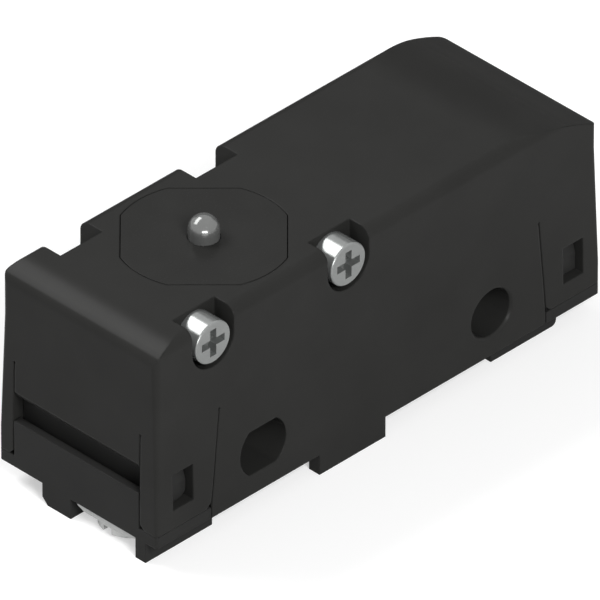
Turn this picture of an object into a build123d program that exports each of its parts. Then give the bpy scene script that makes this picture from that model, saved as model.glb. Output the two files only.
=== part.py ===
from build123d import *
import os
from math import sqrt

# Basic snap-action micro switch: a moulded housing over a moulded base, with a pin plunger,
# a snap blade between two fixed contacts, and three screw terminals underneath.
# Millimetres. +Z is up, the front faces -Y, and the origin is on the surface that the feet
# stand on, under the middle of the body. Heights named "up" are measured from the underside
# of the body, and places named "at" are measured from its left end.

# Overall body; its length follows from the mounting holes and the reach beyond the right one
RIGHT_REACH = 12.05
WIDTH = 17.45
BODY_HEIGHT = 18.65
FOOT_DROP = 1.9
WALL = 1.17
ROOF = 1.6

# Draft of the side walls: they lean in by DRAFT between these two heights
DRAFT = 0.2
DRAFT_START_UP = 3.2
DRAFT_END_UP = 14.0

# Rounded ends of the top, seen from the front, and the small edge radii; the radius of the
# upright corners grows with the draft
LEFT_BROW_RADIUS = 8.0
LEFT_BROW_RUN = 4.0
LEFT_EDGE_RADIUS = 1.2
RIGHT_BROW_RADIUS = 21.0
RIGHT_BROW_RUN = 10.0
TOP_EDGE_RADIUS = 1.0
LOW_CORNER_RADIUS = 0.25
HIGH_CORNER_RADIUS = 0.5

# Mounting holes through the body from front to back
HOLE_UP = 3.96
SLOT_AT = 11.75
HOLE_PITCH = 25.4
HOLE_RADIUS = 2.15
SLOT_RADIUS = 2.535
SLOT_HEIGHT = 4.14
TUBE_WALL = 0.95
HOLE_MOUTH = 0.2

# Snap latches at the four corners: a tab of the housing over a hook of the base
TAB_TOP_UP = 9.9
TAB_BOTTOM_UP = 1.09
TAB_LEFT_REACH = 6.95
TAB_RIGHT_REACH = 6.65
TAB_BOTTOM_REACH = 5.95
TAB_FRONT_REACH = 1.87
TAB_BACK_REACH = 1.5
TAB_RELIEF = 0.45
SLIT = 0.13
WINDOW_AT = 1.81
WINDOW_WIDTH = 2.25
WINDOW_BOTTOM_UP = 2.8
WINDOW_HEIGHT = 3.4
HOOK_CLEAR = 0.15
HOOK_REACH = 0.5
HOOK_RADIUS = 0.85
LEDGE_CLEAR = 0.05

# Groove across each end face, between the housing wall and the end plate of the base
GROOVE_TOP_UP = 7.65
GROOVE_LIP_RADIUS = 1.6
END_PLATE_UP = 4.4
END_PLATE_THICK = 0.7
TRENCH_UP = 3.2

# Base block inside the housing
BASE_CLEAR = 0.08
BASE_HEIGHT = 7.65
TUBE_CLEAR = 0.1
FIT = 0.04

# Barrier walls that hang under the base round the terminals, and the foot of the housing
BARRIER_LENGTH = 7.33
BARRIER_THICK = 1.12
BARRIER_CLEAR = 0.055
REAR_BARRIER_CLEAR = 0.135
REAR_BARRIER_THICK = 3.16
BARRIER_CHAMFER = 0.6
BARRIER_CORNER_RADIUS = 0.5
MIDDLE_BARRIER_AT = 17.96
RIGHT_BARRIER_PAST = 1.15

# Screw terminals: common at the left end, then normally open, then normally closed, whose
# places are measured from the round hole
COMMON_SCREW_AT = 3.0
OPEN_SCREW_AT = 21.6
CLOSED_SCREW_PAST = 5.45
STRIP_THICK = 0.8
STRIP_WIDTH = 4.8
STRIP_BEND = 0.5
PLATE_WIDTH = 6.4
COMMON_PLATE_START = 1.4
COMMON_RISER_AT = 6.5
OPEN_PLATE_START = 18.6
OPEN_RISER_AT = 24.9
CLOSED_PLATE_PAST = 2.25
CLOSED_RISER_PAST = 8.45
COMMON_STRIP_END = 10.6
OPEN_STRIP_OVER = 2.2
CLOSED_STRIP_OVER = 1.8
TERMINAL_SCREW_RADIUS = 1.45
TERMINAL_BORE_CLEAR = 0.05
TERMINAL_TIP_UP = 3.1
TIP_ROOM = 0.3
CLAMP_LENGTH = 5.4
CLAMP_WIDTH = 7.0
CLAMP_THICK = 0.68
CLAMP_GAP = 0.05
CLAMP_BEVEL_RUN = 1.1
CLAMP_BEVEL_RISE = 0.4
CLAMP_BORE_CLEAR = 0.15
CLAMP_CORNER = 0.4
SCREW_HEAD_RADIUS = 2.6
SCREW_HEAD_HEIGHT = 0.8
SCREW_SLOT_WIDTH = 0.88
SCREW_SLOT_DEPTH = 0.55

# Crown: the thick top of the housing that holds the plunger guide
CROWN_END_AT = 24.4
CROWN_ROOM = 0.4

# Plunger guide, set flush in the crown
PLUNGER_AT = 13.91
GUIDE_RADIUS = 7.1
GUIDE_FLAT = 6.5
GUIDE_GROOVE = 0.07
GUIDE_FLANGE = 3.4
GUIDE_NECK_RADIUS = 4.4
GUIDE_DROP = 0.7
GUIDE_BORE_RADIUS = 2.6
GUIDE_ROOF = 1.75

# Plunger: a steel pin in an insulating cap, lifted by a square-wire spring on a retainer ring
PIN_RADIUS = 1.29
PIN_PROUD = 2.01
PIN_SEAT_DEPTH = 1.2
SLIDE_CLEAR = 0.04
PRESS_CLEAR = 0.01
CAP_FLANGE = 1.6
CAP_STEM_RADIUS = 1.2
CAP_NOSE_RADIUS = 1.0
CAP_GAP = 0.02
SPRING_WIRE = 0.42
SPRING_RADIUS = 1.95
SPRING_TURNS = 3.0
RETAINER_THICK = 0.6

# Two cross screws with threaded inserts that lock the guide, one each side of the plunger
CROSS_SCREW_OFFSET = 7.45
CROSS_SCREW_DROP = 2.17
CROSS_SCREW_RADIUS = 1.0
CROSS_HEAD_RADIUS = 1.9
CROSS_HEAD_HEIGHT = 2.2
CROSS_HEAD_EDGE = 0.15
CROSS_SLOT_LENGTH = 2.5
CROSS_SLOT_WIDTH = 0.68
CROSS_SLOT_DEPTH = 0.9
CROSS_TIP_SHORT = 0.4
POCKET_WIDTH = 4.6
POCKET_DEPTH = 2.4
NOTCH_DEPTH = 2.67
SCREW_HOLE_CLEAR = 0.05
INSERT_RADIUS = 1.5
INSERT_LENGTH = 2.3
INSERT_CLEAR = 0.02
INSERT_GROOVE = 0.2

# Snap mechanism: the blade frame rocks in two notched posts, the tongue on a wall behind them
BLADE_THICK = 0.3
BLADE_PIVOT_AT = 9.6
BLADE_LEG_END_AT = 26.0
BLADE_OVER = 2.3
BLADE_HALF_WIDTH = 3.6
BLADE_WINDOW_HALF = 1.8
BLADE_ARCH = 0.85
BLADE_NOSE_RADIUS = 1.5
TONGUE_PIVOT_AT = 6.4
TONGUE_END_AT = 25.5
TONGUE_HALF_WIDTH = 1.3
BEAD_RADIUS = 0.5
ANCHOR_START_AT = 6.92
ANCHOR_FLOOR = 0.6
ANCHOR_WALL = 0.8
ANCHOR_WALL_RISE = 1.2
ANCHOR_HALF_WIDTH = 3.65
ANCHOR_SLOT_HALF = 1.4
ANCHOR_SLOT_RISE = 0.4
POST_START_AT = 8.5
POST_END_AT = 9.9
POST_RISE = 0.6
POST_INNER = 1.75
NOTCH_APEX = 0.4
NOTCH_OPEN = 0.42

# Contacts, short of the round hole
CONTACT_SHORT = 3.15
CONTACT_RADIUS = 1.6
CONTACT_HEAD = 0.8
CONTACT_DOME = 0.14
CONTACT_SHANK = 0.8
CONTACT_TRAVEL = 0.6
CONTACT_CLEAR = 0.02
RIVET_CLEAR = 0.02
RIVET_UPSET = 0.3

# Worked-out places in the model's own frame
ROUND_AT = SLOT_AT + HOLE_PITCH
LENGTH = ROUND_AT + RIGHT_REACH
CONTACT_AT = ROUND_AT - CONTACT_SHORT
CLOSED_RISER_AT = ROUND_AT + CLOSED_RISER_PAST
LEFT = -LENGTH / 2
RIGHT = LENGTH / 2
FRONT = -WIDTH / 2
BACK = WIDTH / 2
UNDER = FOOT_DROP
TOP = UNDER + BODY_HEIGHT
HALF_INSIDE = WIDTH / 2 - WALL
BASE_HALF = HALF_INSIDE - BASE_CLEAR
BASE_TOP = UNDER + BASE_HEIGHT
STRIP_TOP = BASE_TOP + STRIP_THICK
OPEN_FACE = STRIP_TOP + CONTACT_HEAD
MOVING_UNDER = OPEN_FACE + CONTACT_CLEAR + CONTACT_TRAVEL
BLADE_Z = MOVING_UNDER + CONTACT_HEAD + BLADE_THICK / 2
SLOT_X = LEFT + SLOT_AT
ROUND_X = LEFT + ROUND_AT
HOLE_Z = UNDER + HOLE_UP
PLUNGER_X = LEFT + PLUNGER_AT
CONTACT_X = LEFT + CONTACT_AT
TERMINAL_Y = BARRIER_THICK + BARRIER_CLEAR + CLAMP_WIDTH / 2 - BASE_HALF
REAR_BARRIER_Y = TERMINAL_Y + CLAMP_WIDTH / 2 + REAR_BARRIER_CLEAR
CROSS_Z = TOP - CROSS_SCREW_DROP
FLANGE_Z = TOP - GUIDE_FLANGE
GUIDE_Z = BLADE_Z + BLADE_THICK / 2 + BLADE_ARCH + CROWN_ROOM
CROWN_Z = GUIDE_Z + GUIDE_DROP
CEILING_Z = TOP - GUIDE_ROOF
RETAINER_Z = GUIDE_Z + RETAINER_THICK
TONGUE_TOP = BLADE_Z + BLADE_THICK / 2
CAP_TOP = CEILING_Z - CAP_GAP
CAP_FLANGE_Z = CAP_TOP - CAP_FLANGE
CLAMP_TOP = UNDER - CLAMP_GAP
CLAMP_UNDER = CLAMP_TOP - CLAMP_THICK
MOVING_TOP = BLADE_Z + BLADE_THICK / 2 + CONTACT_HEAD
CLOSED_FACE = MOVING_TOP + CONTACT_CLEAR
CLOSED_ARM = CLOSED_FACE + CONTACT_HEAD
CROSS_SCREWS_X = (PLUNGER_X - CROSS_SCREW_OFFSET, PLUNGER_X + CROSS_SCREW_OFFSET)
SCREWS_X = (LEFT + COMMON_SCREW_AT, LEFT + OPEN_SCREW_AT, ROUND_X + CLOSED_SCREW_PAST)
MARGIN = 1.0


def block(x0, x1, y0, y1, z0, z1):
    """A block given by its faces."""
    middle = Pos((x0 + x1) / 2, (y0 + y1) / 2, (z0 + z1) / 2)
    return middle * Box(x1 - x0, y1 - y0, z1 - z0)


def rod(x, z, radius, y0, y1):
    """A round bar that lies front to back between y0 and y1."""
    return Pos(x, (y0 + y1) / 2, z) * Rot(90, 0, 0) * Cylinder(radius, y1 - y0)


def post(x, y, radius, z0, z1):
    """An upright round bar between z0 and z1."""
    return Pos(x, y, (z0 + z1) / 2) * Cylinder(radius, z1 - z0)


def front_prism(face, y0, y1):
    """A front view, drawn as x and height, carried from y1 forward to y0."""
    plane = Plane(origin=(0, y1, 0), x_dir=(1, 0, 0), z_dir=(0, -1, 0))
    return extrude(plane * face, y1 - y0)


def polygon(*points):
    """A flat face through the given corners."""
    return make_face(Polyline(*points, close=True))


def both_ends(shape):
    """The shape and its mirror image at the other end of the body."""
    return shape + mirror(shape, Plane.YZ)


def front_and_back(shape):
    """The shape and its mirror image on the other side of the body."""
    return shape + mirror(shape, Plane.XZ)


def brow(x, x_top, z_top, radius):
    """Height of a brow arc at x, where the arc meets the flat top at x_top."""
    return z_top - radius + sqrt(radius**2 - (x - x_top) ** 2)


def brow_arc(x0, x1, x_top, z_top, radius):
    """The arc of a brow between two places along the body."""
    middle = (x0 + x1) / 2
    points = [(x, brow(x, x_top, z_top, radius)) for x in (x0, middle, x1)]
    return ThreePointArc(*points)


def side_outline():
    """The body seen from the front: upright ends and a brow at each end of the top."""
    x_left = LEFT + DRAFT
    x_right = RIGHT - DRAFT
    left_top = LEFT + LEFT_BROW_RUN
    right_top = RIGHT - RIGHT_BROW_RUN
    left_arc = brow_arc(x_left, left_top, left_top, TOP, LEFT_BROW_RADIUS)
    right_arc = brow_arc(right_top, x_right, right_top, TOP, RIGHT_BROW_RADIUS)
    lean = UNDER + DRAFT_END_UP
    left_side = Polyline((LEFT, UNDER), (LEFT, lean), (x_left, lean), left_arc @ 0)
    right_side = Polyline(right_arc @ 1, (x_right, lean), (RIGHT, lean), (RIGHT, UNDER))
    flat_top = Line(left_arc @ 1, right_arc @ 0)
    under = Line((RIGHT, UNDER), (LEFT, UNDER))
    face = make_face([left_side, left_arc, flat_top, right_arc, right_side, under])
    edge = face.vertices().sort_by_distance((left_arc @ 0))[0]
    return fillet(edge, LEFT_EDGE_RADIUS)


def end_outline():
    """The body seen from the left: upright sides and rounded top edges."""
    lean = UNDER + DRAFT_END_UP
    side = BACK - DRAFT
    corners = [(BACK, UNDER), (BACK, lean), (side, lean), (side, TOP)]
    corners += [(-y, z) for y, z in reversed(corners)]
    face = polygon(*corners)
    top = face.vertices().group_by(Axis.Y)[-1]
    return fillet(top, TOP_EDGE_RADIUS)


def plan_section(z, lean, radius):
    """The body seen from above at one height, with rounded corners."""
    return Pos(0, 0, z) * RectangleRounded(LENGTH - 2 * lean, WIDTH - 2 * lean, radius)


def outer_form():
    """The outside of the housing: leaning walls under a top with two brows."""
    walls = [plan_section(z, 0, LOW_CORNER_RADIUS) for z in (UNDER, UNDER + DRAFT_START_UP)]
    for z in (UNDER + DRAFT_END_UP, TOP + MARGIN):
        walls.append(plan_section(z, DRAFT, HIGH_CORNER_RADIUS))
    long_form = front_prism(side_outline(), FRONT - MARGIN, BACK + MARGIN)
    cross_form = extrude(Plane.YZ * end_outline(), LENGTH / 2 + MARGIN, both=True)
    return loft(walls, ruled=True) & long_form & cross_form


def cavity():
    """The open inside of the housing: low under the crown, high beyond it."""
    x0 = LEFT + WALL
    x1 = RIGHT - WALL
    crown_end = LEFT + CROWN_END_AT
    roof = TOP - ROOF
    x_top = RIGHT - RIGHT_BROW_RUN
    arc = brow_arc(x_top, x1, x_top, roof, RIGHT_BROW_RADIUS - ROOF)
    start = (x0, UNDER - MARGIN)
    end = (x1, UNDER - MARGIN)
    left_side = Polyline(start, (x0, CROWN_Z), (crown_end, CROWN_Z), (crown_end, roof), arc @ 0)
    right_side = Polyline(arc @ 1, end, start)
    face = make_face([left_side, arc, right_side])
    return front_prism(face, -HALF_INSIDE, HALF_INSIDE)


def slot_face(extra):
    """The long mounting hole, a circle between two level flats, grown by extra."""
    radius = SLOT_RADIUS + extra
    return Circle(radius) & Rectangle(2 * radius, SLOT_HEIGHT + 2 * extra)


def at_slot(face):
    """A face moved to the long mounting hole."""
    return Pos(SLOT_X, HOLE_Z) * face


def at_round(face):
    """A face moved to the round mounting hole."""
    return Pos(ROUND_X, HOLE_Z) * face


def mounting_tubes():
    """The two walls that carry the mounting holes across the inside."""
    sections = at_slot(slot_face(TUBE_WALL)) + at_round(Circle(HOLE_RADIUS + TUBE_WALL))
    return front_prism(sections, FRONT + WALL / 2, BACK - WALL / 2)


def mounting_holes():
    """The two through holes, each with an eased mouth front and back."""
    bores = front_prism(at_slot(slot_face(0)), FRONT - MARGIN, BACK + MARGIN)
    bores += rod(ROUND_X, HOLE_Z, HOLE_RADIUS, FRONT - MARGIN, BACK + MARGIN)
    cone = Cone(HOLE_RADIUS, HOLE_RADIUS + HOLE_MOUTH, HOLE_MOUTH)
    mouth = Pos(ROUND_X, FRONT + HOLE_MOUTH / 2, HOLE_Z) * Rot(90, 0, 0) * cone
    return bores + front_and_back(mouth)


def end_opening():
    """The gap in an end wall over the end plate, its upper lip curved inward."""
    lip = UNDER + GROOVE_TOP_UP
    ceiling = lip - GROOVE_LIP_RADIUS
    x_in = LEFT + WALL + MARGIN / 2
    low = UNDER - MARGIN
    inset = GROOVE_LIP_RADIUS * (1 - sqrt(0.5))
    middle = (LEFT + inset, ceiling + inset)
    curve = ThreePointArc((LEFT, lip), middle, (LEFT + GROOVE_LIP_RADIUS, ceiling))
    inside = Polyline(curve @ 1, (x_in, ceiling), (x_in, low))
    outside = Polyline((x_in, low), (LEFT - MARGIN, low), (LEFT - MARGIN, lip), curve @ 0)
    face = make_face([curve, inside, outside])
    return front_prism(face, FRONT + TAB_FRONT_REACH, BACK - TAB_BACK_REACH)


def latch_cuts(top_reach, end_reach):
    """Slits, window and reliefs that free the tab at the left front corner.

    The top of the tab reaches top_reach along the side and end_reach onto the end face.
    """
    bottom = UNDER + TAB_BOTTOM_UP
    top = UNDER + TAB_TOP_UP
    y_out = FRONT - MARGIN
    y_in = FRONT + WALL + MARGIN / 2
    x_top = LEFT + top_reach
    x_low = LEFT + TAB_BOTTOM_REACH
    below = UNDER - MARGIN
    slit = polygon((x_low, bottom), (x_top, top), (x_top + SLIT, top), (x_low + SLIT, bottom))
    slit += polygon((x_low, bottom), (x_low + SLIT, bottom), (x_low + SLIT, below), (x_low, below))
    slit += Pos(x_top + SLIT / 2, top) * Circle(SLIT)
    slit += polygon((x_low, bottom), (x_low, bottom + TAB_RELIEF), (x_low - TAB_RELIEF, bottom))
    cuts = front_prism(slit, y_out, y_in)
    window_x = LEFT + WINDOW_AT
    window_z = UNDER + WINDOW_BOTTOM_UP
    window_top = window_z + WINDOW_HEIGHT
    cuts += block(window_x, window_x + WINDOW_WIDTH, y_out, y_in, window_z, window_top)
    x_out = LEFT - MARGIN
    x_in = LEFT + WALL + MARGIN / 2
    y_tab = FRONT + end_reach
    cuts += block(x_out, x_in, y_tab, y_tab + SLIT, bottom, top)
    corner = Plane(origin=(x_out, 0, 0), x_dir=(0, 1, 0), z_dir=(1, 0, 0))
    relief = polygon((y_tab, bottom), (y_tab, bottom + TAB_RELIEF), (y_tab - TAB_RELIEF, bottom))
    relief += Pos(y_tab + SLIT / 2, top) * Circle(SLIT)
    cuts += extrude(corner * relief, x_in - x_out)
    cuts += block(x_out, x_low + SLIT, y_out, FRONT / 2, below, bottom)
    return cuts


def latches(top_reach):
    """The cuts for the front and back tabs of the left end."""
    back = mirror(latch_cuts(top_reach, TAB_BACK_REACH), Plane.XZ)
    return latch_cuts(top_reach, TAB_FRONT_REACH) + back


def guide_outline(extra):
    """Top view of the plunger guide: a circle with four flats at the diagonals."""
    flats = Rectangle(2 * (GUIDE_FLAT + extra), 2 * (GUIDE_FLAT + extra))
    return Circle(GUIDE_RADIUS + extra) & (Rot(0, 0, 45) * flats)


def guide_seat():
    """The stepped recess in the crown that takes the plunger guide."""
    flange = extrude(Pos(PLUNGER_X, 0, FLANGE_Z) * guide_outline(GUIDE_GROOVE), GUIDE_FLANGE + MARGIN)
    neck = post(PLUNGER_X, 0, GUIDE_NECK_RADIUS + GUIDE_GROOVE, CROWN_Z - MARGIN, TOP)
    return flange + neck


def pocket(x, y0, y1):
    """A slot with a round bottom, open to the top, for a screw head or a nut."""
    half = POCKET_WIDTH / 2
    face = Pos(x, CROSS_Z) * Circle(half)
    open_top = (TOP + MARGIN + CROSS_Z) / 2
    face += Pos(x, open_top) * Rectangle(POCKET_WIDTH, TOP + MARGIN - CROSS_Z)
    return front_prism(face, y0, y1)


def crown_cuts():
    """Head pockets in front, notches behind and the screw and insert holes between them."""
    cuts = guide_seat()
    notch_y = BACK - NOTCH_DEPTH
    for x in CROSS_SCREWS_X:
        cuts += pocket(x, FRONT - MARGIN, FRONT + POCKET_DEPTH)
        cuts += pocket(x, notch_y, BACK + MARGIN)
        cuts += rod(x, CROSS_Z, CROSS_SCREW_RADIUS + SCREW_HOLE_CLEAR, FRONT, BACK)
        cuts += rod(x, CROSS_Z, INSERT_RADIUS + INSERT_CLEAR, notch_y - INSERT_LENGTH, BACK)
    return cuts


def housing():
    """The moulded upper case."""
    foot_x = LEFT + MIDDLE_BARRIER_AT
    foot = block(foot_x, foot_x + BARRIER_LENGTH, FRONT, FRONT + WALL, 0, UNDER + MARGIN)
    shell = outer_form() - cavity() + mounting_tubes() + front_and_back(foot)
    shell -= crown_cuts()
    shell -= mounting_holes()
    shell -= latches(TAB_LEFT_REACH) + mirror(latches(TAB_RIGHT_REACH), Plane.YZ)
    return shell - both_ends(end_opening())


def hook():
    """The hook of the base that fills the window at the left front corner."""
    x0 = LEFT + WINDOW_AT + HOOK_CLEAR
    x1 = LEFT + WINDOW_AT + WINDOW_WIDTH - HOOK_CLEAR
    z0 = UNDER + WINDOW_BOTTOM_UP + HOOK_CLEAR
    z1 = z0 + WINDOW_HEIGHT - 2 * HOOK_CLEAR
    face = polygon((x0, z0), (x1, z0), (x1, z1), (x0, z1))
    face = fillet(face.vertices().group_by(Axis.X)[-1], HOOK_RADIUS)
    shape = front_prism(face, -BASE_HALF - HOOK_REACH, -BASE_HALF + MARGIN)
    ramp = Plane(origin=(x0 - MARGIN, 0, 0), x_dir=(0, 1, 0), z_dir=(1, 0, 0))
    toe = (-BASE_HALF - HOOK_REACH, (z0 + z1) / 2)
    lead = polygon((-BASE_HALF, z1 + MARGIN), (-BASE_HALF, z1), toe, (FRONT, z1 + MARGIN))
    return shape - extrude(ramp * lead, x1 - x0 + 2 * MARGIN)


def end_plate():
    """The end wall of the base below the groove, with a trench behind it."""
    x_inner = LEFT + WALL + BASE_CLEAR
    side = polygon(
        (LEFT, UNDER),
        (x_inner + MARGIN, UNDER),
        (x_inner + MARGIN, UNDER + TRENCH_UP),
        (LEFT + END_PLATE_THICK, UNDER + TRENCH_UP),
        (LEFT + END_PLATE_THICK, UNDER + END_PLATE_UP),
        (LEFT, UNDER + END_PLATE_UP),
    )
    y0 = FRONT + TAB_FRONT_REACH + SLIT
    return front_prism(side, y0, BACK - TAB_BACK_REACH - SLIT)


def ledge():
    """The step of the base under the tabs at the left end, flush with the outside."""
    top = UNDER + TAB_BOTTOM_UP - LEDGE_CLEAR
    plate = block(LEFT, LEFT + TAB_BOTTOM_REACH, FRONT, BACK, UNDER, top)
    upright = plate.edges().filter_by(Axis.Z).group_by(Axis.X)[0]
    return fillet(upright, LOW_CORNER_RADIUS)


def barrier(x0, y0, thick):
    """A wall that hangs under the base beside a terminal."""
    return block(x0, x0 + BARRIER_LENGTH, y0, y0 + thick, 0, UNDER + MARGIN)


def barriers():
    """The hanging walls in front of and behind the three terminals."""
    front_y = -BASE_HALF
    left = barrier(LEFT, front_y, BARRIER_THICK)
    right_x = ROUND_X + RIGHT_BARRIER_PAST
    right = barrier(right_x, front_y, BARRIER_THICK)
    far_corner = right.edges().filter_by(Axis.Y).group_by(Axis.Z)[0].sort_by(Axis.X)[-1]
    walls = left + fillet(far_corner, BARRIER_CORNER_RADIUS)
    for x in (LEFT, LEFT + MIDDLE_BARRIER_AT, right_x):
        rear = barrier(x, REAR_BARRIER_Y, REAR_BARRIER_THICK)
        lower = rear.edges().filter_by(Axis.X).group_by(Axis.Z)[0].sort_by(Axis.Y)[-1]
        walls += chamfer(lower, BARRIER_CHAMFER)
    return walls


def tube_channels():
    """Channels across the base, open upward, that clear the mounting tubes."""
    rise = BASE_TOP + MARGIN - HOLE_Z
    reach = TUBE_WALL + TUBE_CLEAR
    slot_radius = SLOT_RADIUS + reach
    hole_radius = HOLE_RADIUS + reach
    slot = slot_face(reach) + Pos(0, rise / 2) * Rectangle(2 * slot_radius, rise)
    hole = Circle(hole_radius) + Pos(0, rise / 2) * Rectangle(2 * hole_radius, rise)
    return front_prism(at_slot(slot) + at_round(hole), FRONT, BACK)


def terminal_room(plate_start, riser_at, screw_x):
    """The recess in the base for one terminal: its plate, its riser and the screw tip."""
    x0 = LEFT + plate_start - FIT
    x1 = LEFT + riser_at + STRIP_THICK / 2 + FIT
    half = PLATE_WIDTH / 2 + FIT
    y0 = TERMINAL_Y - half
    y1 = TERMINAL_Y + half
    room = block(x0, x1, y0, y1, UNDER - MARGIN, UNDER + STRIP_THICK + FIT)
    rise = STRIP_WIDTH / 2 + FIT
    room += block(x1 - STRIP_THICK - 2 * FIT, x1, -rise, rise, UNDER, BASE_TOP + MARGIN)
    tip = UNDER + TERMINAL_TIP_UP + TIP_ROOM
    return room + post(screw_x, TERMINAL_Y, TERMINAL_SCREW_RADIUS + TIP_ROOM, UNDER, tip)


def bend_relief(riser_at):
    """Room in the top edge of a riser slot for the bend of a strip that lies on the base."""
    x0 = LEFT + riser_at
    half = STRIP_WIDTH / 2 + FIT
    x1 = x0 + STRIP_THICK / 2 + STRIP_BEND + FIT
    return block(x0, x1, -half, half, BASE_TOP - STRIP_BEND - FIT, BASE_TOP + MARGIN)


def riser_post():
    """The post of the base that backs the tall riser of the closed terminal."""
    x0 = LEFT + CLOSED_RISER_AT + STRIP_THICK / 2 + FIT
    half = STRIP_WIDTH / 2
    support = block(x0, RIGHT - WALL - BASE_CLEAR, -half, half, BASE_TOP - MARGIN, CLOSED_ARM)
    top = support.edges().filter_by(Axis.Y).group_by(Axis.Z)[-1].sort_by(Axis.X)[-1]
    return chamfer(top, STRIP_BEND)


def base():
    """The moulded lower case that carries the terminals and the mechanism."""
    inner = LENGTH / 2 - WALL - BASE_CLEAR
    body = block(-inner, inner, -BASE_HALF, BASE_HALF, UNDER, BASE_TOP)
    body -= tube_channels()
    body += both_ends(end_plate())
    body += both_ends(ledge())
    body += both_ends(front_and_back(hook()))
    body += barriers()
    body += riser_post()
    body -= terminal_room(COMMON_PLATE_START, COMMON_RISER_AT, SCREWS_X[0])
    body -= terminal_room(OPEN_PLATE_START, OPEN_RISER_AT, SCREWS_X[1])
    body -= terminal_room(ROUND_AT + CLOSED_PLATE_PAST, CLOSED_RISER_AT, SCREWS_X[2])
    return body - bend_relief(COMMON_RISER_AT) - bend_relief(OPEN_RISER_AT)


def strip(riser_at, end_at, arm_top):
    """A bent strip that rises from a terminal plate and turns along the body."""
    x0 = LEFT + riser_at
    x1 = LEFT + end_at
    z_arm = arm_top - STRIP_THICK / 2
    bend = STRIP_THICK / 2 + STRIP_BEND
    path = FilletPolyline((x0, UNDER), (x0, z_arm), (x1, z_arm), radius=bend)
    return front_prism(trace(path, STRIP_THICK), -STRIP_WIDTH / 2, STRIP_WIDTH / 2)


def terminal(plate_start, riser_at, screw_x, end_at, arm_top):
    """One terminal: the plate under the base with its strip."""
    x0 = LEFT + plate_start
    x1 = LEFT + riser_at + STRIP_THICK / 2
    half = PLATE_WIDTH / 2
    plate = block(x0, x1, TERMINAL_Y - half, TERMINAL_Y + half, UNDER, UNDER + STRIP_THICK)
    bore = post(screw_x, TERMINAL_Y, TERMINAL_SCREW_RADIUS + TERMINAL_BORE_CLEAR, 0, BASE_TOP - MARGIN)
    return plate + strip(riser_at, end_at, arm_top) - bore


def rivet_hole():
    """The hole in a strip for the shank of a fixed contact."""
    return post(CONTACT_X, 0, CONTACT_SHANK + RIVET_CLEAR, UNDER, TOP)


def common_terminal():
    """The terminal that feeds the blade, under the left end."""
    return terminal(COMMON_PLATE_START, COMMON_RISER_AT, SCREWS_X[0], COMMON_STRIP_END, STRIP_TOP)


def open_terminal():
    """The normally open terminal; its strip lies on the base under the blade."""
    end_at = CONTACT_AT + OPEN_STRIP_OVER
    metal = terminal(OPEN_PLATE_START, OPEN_RISER_AT, SCREWS_X[1], end_at, STRIP_TOP)
    return metal - rivet_hole()


def closed_terminal():
    """The normally closed terminal; its strip reaches back over the blade."""
    top = CLOSED_ARM + STRIP_THICK
    start = ROUND_AT + CLOSED_PLATE_PAST
    end_at = CONTACT_AT - CLOSED_STRIP_OVER
    metal = terminal(start, CLOSED_RISER_AT, SCREWS_X[2], end_at, top)
    return metal - rivet_hole()


def contact(face_z, back_z, tail_z):
    """A contact rivet: a slightly domed head, and a shank through the strip to its tail."""
    rise = 1 if face_z > back_z else -1
    edge_z = face_z - rise * CONTACT_DOME
    quarter = (CONTACT_RADIUS / 2, face_z - rise * CONTACT_DOME / 4)
    dome = ThreePointArc((0, face_z), quarter, (CONTACT_RADIUS, edge_z))
    shoulder = [(CONTACT_RADIUS, edge_z), (CONTACT_RADIUS, back_z), (CONTACT_SHANK, back_z)]
    rest = Polyline(*shoulder, (CONTACT_SHANK, tail_z), (0, tail_z))
    axis_line = Line((0, tail_z), (0, face_z))
    face = make_face([dome, rest, axis_line])
    return Pos(CONTACT_X, 0, 0) * revolve(Plane.XZ * face, Axis.Z)


def moving_contact():
    """The double contact at the free end of the blade."""
    upper = contact(MOVING_TOP, BLADE_Z + BLADE_THICK / 2, BLADE_Z)
    lower = contact(MOVING_UNDER, BLADE_Z - BLADE_THICK / 2, BLADE_Z)
    return upper + lower


def clamp_plate(screw_x):
    """The clamp plate of a terminal, its front and back edges bevelled underneath."""
    half = CLAMP_WIDTH / 2
    bevel_y = half - CLAMP_BEVEL_RUN
    bevel_z = CLAMP_UNDER + CLAMP_BEVEL_RISE
    corners = [(half, CLAMP_TOP), (half, bevel_z), (bevel_y, CLAMP_UNDER)]
    corners += [(-y, z) for y, z in reversed(corners)]
    side = polygon(*corners)
    x0 = screw_x - CLAMP_LENGTH / 2
    plane = Plane(origin=(x0, TERMINAL_Y, 0), x_dir=(0, 1, 0), z_dir=(1, 0, 0))
    plate = extrude(plane * side, CLAMP_LENGTH)
    plate = fillet(plate.edges().filter_by(Axis.Z), CLAMP_CORNER)
    return plate - post(screw_x, TERMINAL_Y, TERMINAL_SCREW_RADIUS + CLAMP_BORE_CLEAR, 0, UNDER)


def terminal_screw(screw_x):
    """A slotted screw that draws its clamp plate up to the terminal."""
    head_under = CLAMP_UNDER - SCREW_HEAD_HEIGHT
    head = post(screw_x, TERMINAL_Y, SCREW_HEAD_RADIUS, head_under, CLAMP_UNDER)
    shank = post(screw_x, TERMINAL_Y, TERMINAL_SCREW_RADIUS, CLAMP_UNDER, UNDER + TERMINAL_TIP_UP)
    half = SCREW_SLOT_WIDTH / 2
    x0 = screw_x - SCREW_HEAD_RADIUS - MARGIN
    x1 = screw_x + SCREW_HEAD_RADIUS + MARGIN
    slot_top = head_under + SCREW_SLOT_DEPTH
    slot = block(x0, x1, TERMINAL_Y - half, TERMINAL_Y + half, head_under - MARGIN, slot_top)
    return head + shank - slot


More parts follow.
